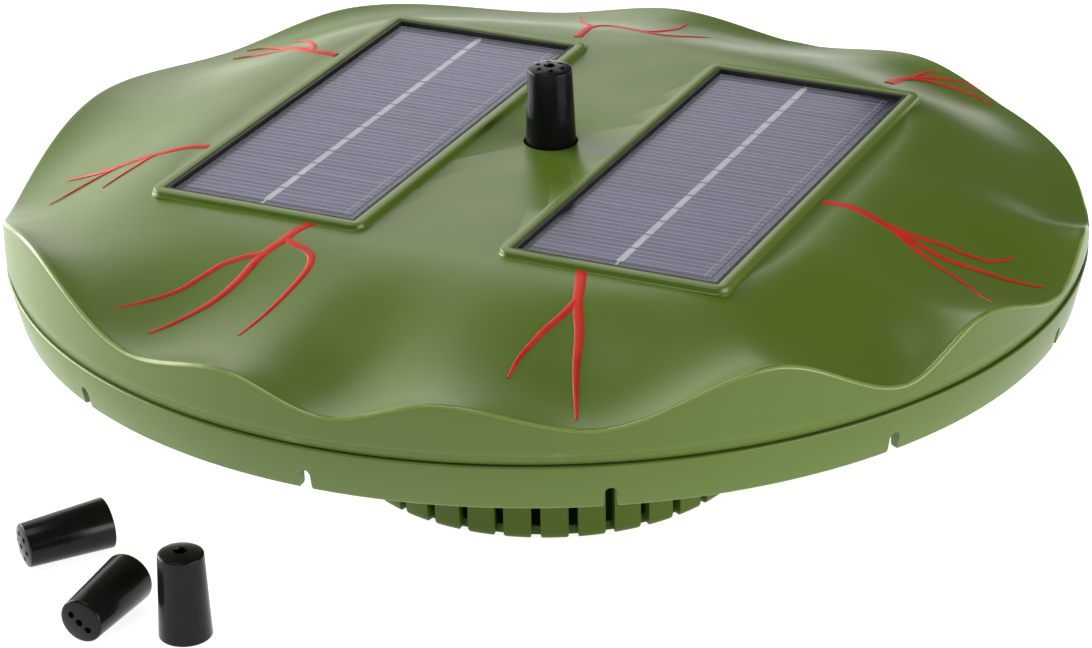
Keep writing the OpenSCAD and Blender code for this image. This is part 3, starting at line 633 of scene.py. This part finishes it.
# ---------------------------------------------------------------- hull
def lower_hull():
    under = FLOOR_UNDER_Z
    top = FLOOR_TOP_Z
    skirt_in = HULL_LOW_R - SHELL
    profile = [(0, under), (skirt_in - 1, under)] + arc(skirt_in - 1, under - 1, 1, 90, 0, 4)[1:]
    profile += [(skirt_in, HULL_LOW_Z + 0.8)] + arc(skirt_in + 0.8, HULL_LOW_Z + 0.8, 0.8, 180, 270, 4)[1:]
    profile += arc(HULL_LOW_R - 0.8, HULL_LOW_Z + 0.9, 0.9, 270, 350, 5)
    profile += arc(FLOAT_R - 0.5, SEAM_Z - 0.5, 0.5, 8, 90, 5)
    profile += [(FLOAT_R - SHELL, SEAM_Z), (skirt_in + 1, top), (0, top)]
    hull = turned("hull", profile, 720, 50)
    tools = []
    for i in range(NOTCHES):
        outline = []
        half = NOTCH_W / 2
        outline += [(-half - 0.7, HULL_LOW_Z - 1.5), (-half - 0.7, HULL_LOW_Z - 0.1)]
        outline += [(-half - 0.25, HULL_LOW_Z + 0.2), (-half, HULL_LOW_Z + 0.9)]
        outline += arc(0, HULL_LOW_Z + NOTCH_H - half, half, 180, 0, 12)
        outline += [(half, HULL_LOW_Z + 0.9), (half + 0.25, HULL_LOW_Z + 0.2)]
        outline += [(half + 0.7, HULL_LOW_Z - 0.1), (half + 0.7, HULL_LOW_Z - 1.5)]
        a = EDGE_TURN + 2 * math.pi * i / NOTCHES
        tools.append(radial_tool("notch", outline, a, (HULL_LOW_R - 5, HULL_LOW_R + 6)))
    cut(hull, merged("notches", tools))
    add_hull_fittings(hull)
    return hull


def add_hull_fittings(hull):
    """Ring for the basket, posts for the pump, and the holes through the floor."""
    ring_r = BASKET_R - BASKET_WALL - 0.08
    low = FLOOR_UNDER_Z - 5
    rib = turned("rib", [(ring_r - 1.8, FLOOR_UNDER_Z + 1), (ring_r - 1.8, low + 0.5), (ring_r - 1.4, low),
                         (ring_r - 0.5, low), (ring_r, low + 0.6), (ring_r, FLOOR_UNDER_Z + 1)], 180)
    cut(hull, rib, "UNION")
    for x, y in POST_SPOTS:
        cut(hull, drum("post", x, y, POST_LOW_Z, FLOOR_UNDER_Z + 1, POST_R), "UNION")
        cut(hull, drum("thread", x, y, POST_LOW_Z - 1, POST_LOW_Z + THREAD_L, THREAD_R))
    for x, y in SCREW_SPOTS:
        cut(hull, drum("clearance", x, y, FLOOR_UNDER_Z - 1, FLOOR_TOP_Z + 1, SCREW_R + 0.1))
    cut(hull, drum("collar", 0, RISER_Y, FLOOR_UNDER_Z + 1, FLOOR_TOP_Z + 5, RISER_R + 4, 64), "UNION")
    cut(hull, drum("riser_way", 0, RISER_Y, FLOOR_UNDER_Z - 1, FLOOR_TOP_Z + 8, RISER_R + 2, 64))
    cut(hull, drum("gland", *GLAND_SPOT, FLOOR_UNDER_Z - 1, FLOOR_TOP_Z + 1, GLAND_R))


def hull_pieces():
    hull = lower_hull()
    hull.name = "hull_moulding"
    shade(hull, 40)
    green = plastic("hull_abs_satin", LEAF_DARK, LEAF_LIGHT, (0.29, 0.36), 0.16, 9.0, 0.5)
    hull.data.materials.append(green)
    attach(hull, "float")
    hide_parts("lower_hull")


# ---------------------------------------------------------------- strainer
BASKET_R = 55.0
BASKET_WALL = 2.4
SLOT_W = 2.45
TOOTH_R = 1.3         # rounding of the teeth between the slots
SLOT_HEAD = 11        # from the basket's upper edge down to the slots
FLOOR_HOLE_RINGS = (14, 26, 38)
FLOOR_HOLES = 12      # in each ring
FLOOR_HOLE_R = 1.5


def strainer():
    top = HULL_LOW_Z + NOTCH_H + 0.8 - 0.05
    wall_in = BASKET_R - BASKET_WALL
    profile = [(0, 0)] + [(r, 0) for r in (10, 30, BASKET_R - 2.2)]
    profile += arc(BASKET_R - 2.2, 2.2, 2.2, -90, 0, 6)[1:]
    profile += [(BASKET_R, 20), (BASKET_R, 40)] + arc(BASKET_R - 0.5, top - 0.5, 0.5, 0, 90, 3)
    profile += arc(wall_in + 0.5, top - 0.5, 0.5, 90, 180, 3)
    profile += arc(wall_in - 1.5, 2.4 + 1.5, 1.5, 0, -90, 4) + [(30, 2.4), (0, 2.4)]
    basket = turned("strainer", profile, 360, 40)
    slot_in = BASKET_R - BASKET_WALL - 1
    tools = []
    for i in range(SLOTS):
        a = EDGE_TURN + 2 * math.pi * i / SLOTS
        half = SLOT_W / 2
        # outline across the slot: straight above, opened by the rounded lower corners of its teeth
        outline = [(-half - TOOTH_R, -1), (-half - TOOTH_R, 0.001)]
        curve = [(TOOTH_R * math.sin(math.radians(b)), TOOTH_R - TOOTH_R * math.cos(math.radians(b)))
                 for b in (20, 40, 60, 90)]
        outline += [(-half - TOOTH_R + u, z) for u, z in curve]
        outline += [(-half, top - SLOT_HEAD), (half, top - SLOT_HEAD)]
        outline += [(half + TOOTH_R - u, z) for u, z in reversed(curve)]
        outline += [(half + TOOTH_R, 0.001), (half + TOOTH_R, -1)]
        tools.append(radial_tool("slot", outline, a, (slot_in, BASKET_R + 2)))
    for r in FLOOR_HOLE_RINGS:
        for i in range(FLOOR_HOLES):
            a = math.radians(i * 360 / FLOOR_HOLES + r)
            tools.append(drum("hole", r * math.cos(a), r * math.sin(a), -2, 5, FLOOR_HOLE_R, 24))
    cut(basket, merged("slots", tools))
    basket.name = "strainer_moulding"
    shade(basket, 40)
    # The basket is the hull's green painted darker: painted shade where it sits under the float
    basket.data.materials.append(plastic("strainer_abs_painted_shade", (0.05, 0.092, 0.003), (0.062, 0.108, 0.005),
                                         (0.42, 0.52), 0.16, 12.0, 0.22))
    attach(basket, "strainer")
    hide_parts("strainer_basket")


# ---------------------------------------------------------------- nozzle heads
NOZZLE_H, NOZZLE_R, NOZZLE_TOP_R = 23.3, 6.65, 5.75
SOCKET_R, SOCKET_DEPTH = 4.55, 15.0
CROWN = 0.7
JET_RING_R = 3.35


def nozzle_head(name, jets):
    """A head that stands on z = 0. Each jet is (x, y, radius)."""
    shoulder = NOZZLE_H - CROWN
    profile = arc(NOZZLE_R - 0.4, 0.4, 0.4, -90, 0, 4)
    profile += arc(NOZZLE_TOP_R - 0.55, shoulder - 0.55, 0.55, 2, 62, 5)
    profile += [(NOZZLE_TOP_R - 0.9, shoulder + 0.1), (3.6, NOZZLE_H - 0.3), (1.8, NOZZLE_H - 0.08), (0, NOZZLE_H)]
    profile += [(0, NOZZLE_H - 3), (3.7, NOZZLE_H - 3), (3.7, SOCKET_DEPTH), (SOCKET_R, SOCKET_DEPTH),
                (SOCKET_R, 0.5), (SOCKET_R + 0.4, 0)]
    head = turned(name, profile, 128, 40)
    tools = []
    for x, y, r in jets:
        # each jet is a hole with a small countersink
        rings = []
        for z, rr in ((NOZZLE_H - 6, r), (NOZZLE_H - 0.75, r), (NOZZLE_H + 0.4, r + 0.45)):
            turns = [2 * math.pi * i / 24 for i in range(24)]
            rings.append([((x + rr * math.cos(a)) * MM, (y + rr * math.sin(a)) * MM, z * MM) for a in turns])
        verts, faces = loft(rings, close_ends=True)
        tools.append(mesh_object("jet", verts, faces))
    cut(head, merged("jets", tools))
    shade(head, 40)
    return head


def lying(x, y, yaw, spin):
    taper = math.atan((NOZZLE_R - NOZZLE_TOP_R) / (NOZZLE_H - CROWN - 1.1))
    lift = NOZZLE_R * math.cos(taper) + 0.03
    return (Matrix.Translation((x * MM, y * MM, lift * MM)) @ Matrix.Rotation(math.radians(yaw), 4, "Z")
            @ Matrix.Rotation(math.radians(90) + taper, 4, "Y") @ Matrix.Rotation(math.radians(spin), 4, "Z"))


def nozzles():
    black = plastic("nozzle_black_gloss", (0.004, 0.004, 0.005), (0.007, 0.007, 0.008), (0.2, 0.24), 0.04,
                    200.0, 0.19)
    six = [(JET_RING_R * math.cos(a), JET_RING_R * math.sin(a)) for a in (math.radians(60 * i) for i in range(6))]
    heads = [
        ("nozzle_head", "nozzle", "nozzle", [(0, 0, 1.3)] + [(x, y, 0.6) for x, y in six],
         Matrix.Translation((0, RISER_Y * MM, (FLAT_Z - NOZZLE_SINK) * MM))),
        ("spare_head_seven", "spare_nozzle_seven_jet", "spare_seven_jet",
         [(0, 0, 0.55)] + [(x, y, 0.55) for x, y in six],
         lying(-79.6, -96.4, 232, 20)),
        ("spare_head_three", "spare_nozzle_three_jet", "spare_three_jet",
         [(0, y, 0.7) for y in (-2.8, 0, 2.8)],
         lying(-59.6, -119, 269, -37)),
        ("spare_head_single", "spare_nozzle_single_jet", "spare_single_jet", [(0, 0, 1.5)],
         Matrix.Translation((-0.0387, -0.1281, 0))),
    ]
    for name, node, body, jets, matrix in heads:
        head = nozzle_head(name, jets)
        head.data.transform(matrix)
        head.data.materials.append(black)
        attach(head, body)
        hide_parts(node)


# ---------------------------------------------------------------- solar panels
CELL_W, CELL_OFF_X = 48.0, -1.4
CELL_Y0, CELL_L, CELL_COUNT = -59.0, 122.6, 14
CELL_PITCH = CELL_L / CELL_COUNT
CELL_TOP = BOARD_Z + 1.6 + 0.3
RIBBON_TOP = CELL_TOP + 0.06


def slab(x0, x1, y0, y1, z0, z1, bevel):
    """Rings of a small plate with chamfered upper edges."""
    rings = []
    for inset, z in ((0, z0), (0, z1 - bevel), (bevel, z1)):
        rings.append([(x * MM, y * MM, z * MM) for x, y in ((x0 + inset, y0 + inset), (x1 - inset, y0 + inset),
                                                          (x1 - inset, y1 - inset), (x0 + inset, y1 - inset))])
    return loft(rings, close_ends=True)


def plates(name, rects, z0, z1, bevel, mat, side, node):
    obj = merged(name, [mesh_object("plate", *slab(*rect, z0, z1, bevel)) for rect in rects])
    shade(obj, 20)
    obj.data.materials.append(mat)
    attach(obj, "float")
    if node:
        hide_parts(node + side)


def cell_rows():
    """Front and back edge of each strip of silicon."""
    return [(CELL_Y0 + i * CELL_PITCH + 0.08, CELL_Y0 + (i + 1) * CELL_PITCH - 0.08) for i in range(CELL_COUNT)]


def panels():
    cell = cell_material()
    window = window_material()
    for side, sign in (("left", -1), ("right", 1)):
        x = sign * PANEL_X + CELL_OFF_X
        rows = cell_rows()
        plates("solar_strips_" + side, [(x - CELL_W / 2, x + CELL_W / 2, y0, y1) for y0, y1 in rows],
               CELL_TOP - 0.3, CELL_TOP, 0.03, cell, side, "solar_cells_")
        dashes = [(x - 0.9, x + 0.9, y0 + 0.25, y1 - 0.25) for y0, y1 in rows]
        tails = [(x - 0.3, x + 0.3, CELL_Y0 - 2.8, CELL_Y0 + 0.6),
                 (x - 0.3, x + 0.3, CELL_Y0 + CELL_L - 0.6, CELL_Y0 + CELL_L + 2)]
        plates("ribbon_dashes_" + side, dashes + tails, CELL_TOP, RIBBON_TOP, 0.02, SILVER, side,
               "busbar_ribbon_")
        edge = x + CELL_W / 2 - 1.9
        lines = [(edge - 0.07 + 0.14 * (i % 2), edge + 0.07 + 0.14 * (i % 2), y0 + 0.3, y1 - 0.3)
                 for i, (y0, y1) in enumerate(rows)]
        plates("edge_lines_" + side, lines, CELL_TOP, CELL_TOP + 0.03, 0.01, SILVER, side, None)
        sheet = mesh_object("window_" + side, *loft(
            [rounded_loop(PANEL_W - 2.1 - 2 * b, PANEL_L - 2.1 - 2 * b, 0.6, z, sign * PANEL_X)
             for b, z in ((0, RIBBON_TOP + 0.05), (0, PANEL_Z - 0.15), (0.15, PANEL_Z))], close_ends=True), 30)
        sheet.data.materials.append(window)
        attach(sheet, "float")
        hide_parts("panel_window_" + side)
        dress("panel_board_" + side, plastic("board_black_" + side, (0.012, 0.013, 0.02), (0.02, 0.021, 0.03),
                                             (0.3, 0.4), 0.1, 30.0))
        dress("panel_gasket_" + side, BLACK_RUBBER)


def dress(node, mat):
    obj = nodes[node]
    obj.data.materials.clear()
    obj.data.materials.append(mat)


# ---------------------------------------------------------------- everything else keeps its CAD shape
BLACK_RUBBER = plastic("rubber_black", (0.012, 0.012, 0.012), (0.02, 0.02, 0.02), (0.5, 0.65), 0.2, 30.0, 0.4)
SILVER = plastic("ribbon_silver", (0.42, 0.43, 0.4), (0.55, 0.56, 0.52), (0.4, 0.5), 0.1, 300.0)


def inner_pieces():
    pump = plastic("pump_charcoal", (0.022, 0.023, 0.026), (0.034, 0.035, 0.038), (0.4, 0.52), 0.2, 25.0)
    steel = metal("screw_steel_brushed", (0.5, 0.5, 0.51), (0.7, 0.7, 0.7))
    core = metal("core_laminations", (0.2, 0.21, 0.22), (0.36, 0.37, 0.38), (0.35, 0.5), (1, 60, 1))
    copper = metal("winding_copper", (0.5, 0.2, 0.09), (0.72, 0.36, 0.18), (0.3, 0.45), (60, 1, 1))
    board = plastic("board_green", (0.012, 0.075, 0.028), (0.02, 0.11, 0.045), (0.3, 0.42), 0.1, 60.0)
    looks = {
        "float_foam": foam("foam_white", (0.6, 0.58, 0.52), (0.8, 0.79, 0.74)),
        "inlet_sponge": foam("sponge_charcoal", (0.02, 0.02, 0.022), (0.09, 0.09, 0.095), 900.0),
        "hull_screws": steel, "pump_screws": steel, "volute_screws": steel,
        "pump_housing": pump, "volute_cover": pump, "motor_end_cap": pump, "riser_tube": pump,
        "junction_board": board, "driver_board": board,
        "stator_core": core, "stator_coils": copper,
        "impeller": plastic("impeller_amber", (0.5, 0.2, 0.04), (0.62, 0.27, 0.06), (0.3, 0.42), 0.1, 50.0),
        "rotor_magnet": plastic("magnet_ferrite", (0.03, 0.03, 0.033), (0.06, 0.06, 0.062), (0.45, 0.6), 0.3, 80.0),
        "pump_shaft": plastic("shaft_ceramic", (0.74, 0.73, 0.69), (0.82, 0.81, 0.77), (0.12, 0.2), 0.02, 60.0),
        "panel_lead_left": plastic("lead_red", (0.42, 0.02, 0.015), (0.55, 0.035, 0.025), (0.35, 0.5), 0.1, 80.0),
    }
    looks["panel_lead_right"] = looks["panel_lead_left"]
    for node in ("rim_seal", "riser_grommet", "volute_o_ring", "front_bearing", "rear_bearing", "cable_gland",
                 "pump_cable", "hull_gland"):
        looks[node] = BLACK_RUBBER
    for node, mat in looks.items():
        dress(node, mat)


# ---------------------------------------------------------------- camera, floor and light
CAM_AZIMUTH, CAM_ELEVATION, CAM_ROLL = 25.428, 25.163, -1.073
CAM_PLACE = (0.37911, -0.79902, 0.45066)
CAM_LENS = 121.93
WORLD_STRENGTH = 0.11
FLOOR_GLOW = 0.9
FLOOR_HALF = 6


def camera():
    az, el, roll = (math.radians(v) for v in (CAM_AZIMUTH, CAM_ELEVATION, CAM_ROLL))
    back = Vector((math.sin(az) * math.cos(el), -math.cos(az) * math.cos(el), math.sin(el)))
    right = Vector((0, 0, 1)).cross(back).normalized()
    up = back.cross(right)
    right, up = right * math.cos(roll) + up * math.sin(roll), up * math.cos(roll) - right * math.sin(roll)
    data = bpy.data.cameras.new("camera")
    data.lens = CAM_LENS
    data.sensor_width = 36.0
    data.clip_start = 0.01
    data.clip_end = 50
    cam = bpy.data.objects.new("camera", data)
    cam.matrix_world = Matrix((right, up, back)).transposed().to_4x4()
    cam.location = CAM_PLACE
    bpy.context.scene.collection.objects.link(cam)
    bpy.context.scene.camera = cam


def area_light(name, place, target, size, power, colour=(1, 1, 1)):
    data = bpy.data.lights.new(name, "AREA")
    data.shape = "RECTANGLE"
    data.size, data.size_y = size
    data.energy = power
    data.color = colour
    lamp = bpy.data.objects.new(name, data)
    lamp.location = place
    lamp.rotation_euler = (Vector(target) - Vector(place)).to_track_quat("-Z", "Y").to_euler()
    bpy.context.scene.collection.objects.link(lamp)


def floor_material():
    """Softly lit white table, so that shadows on it stay faint."""
    mat, tree, shader = new_material("floor_white")
    tree.links.new(ramp(tree, noise_node(tree, 2.0, 2.0), [(0.3, (0.5, 0.5, 0.5)), (0.7, (0.52, 0.52, 0.52))]),
                   shader.inputs["Base Color"])
    shader.inputs["Roughness"].default_value = 0.95
    shader.inputs["Specular IOR Level"].default_value = 0.1
    shader.inputs["Emission Color"].default_value = (1, 1, 1, 1)
    shader.inputs["Emission Strength"].default_value = FLOOR_GLOW
    return mat


def studio():
    scene = bpy.context.scene
    scene.view_settings.view_transform = "Standard"
    world = bpy.data.worlds.new("studio")
    world.use_nodes = True
    world.node_tree.nodes["Background"].inputs["Color"].default_value = (1, 1, 1, 1)
    world.node_tree.nodes["Background"].inputs["Strength"].default_value = WORLD_STRENGTH
    scene.world = world
    corners = [(x * FLOOR_HALF, y * FLOOR_HALF, 0) for x, y in ((-1, -1), (1, -1), (1, 1), (-1, 1))]
    floor = mesh_object("floor", corners, [(0, 1, 2, 3)])
    floor.data.materials.append(floor_material())
    area_light("back_left_window", (-1.45, 1.3, 0.95), (0, 0, 0.15), (2.26, 1.7), 15, (1, 0.96, 0.97))
    area_light("left_window", (-1.9, 0.1, 0.7), (0, 0, 0.1), (1.8, 1.2), 56, (1, 0.97, 0.93))
    area_light("left_low_window", (-1.65, -0.35, 0.24), (0, 0, 0.06), (1.3, 0.45), 13, (1, 0.97, 0.9))
    area_light("right_window", (1.8, -0.2, 0.35), (0, 0, 0.06), (1.5, 0.7), 24, (1, 0.95, 0.93))
    area_light("overhead", (-0.2, -0.3, 1.7), (0, 0, 0), (1.0, 1.0), 12)


camera()
studio()
leaf_cover()
veins()
hull_pieces()
strainer()
nozzles()
panels()
inner_pieces()
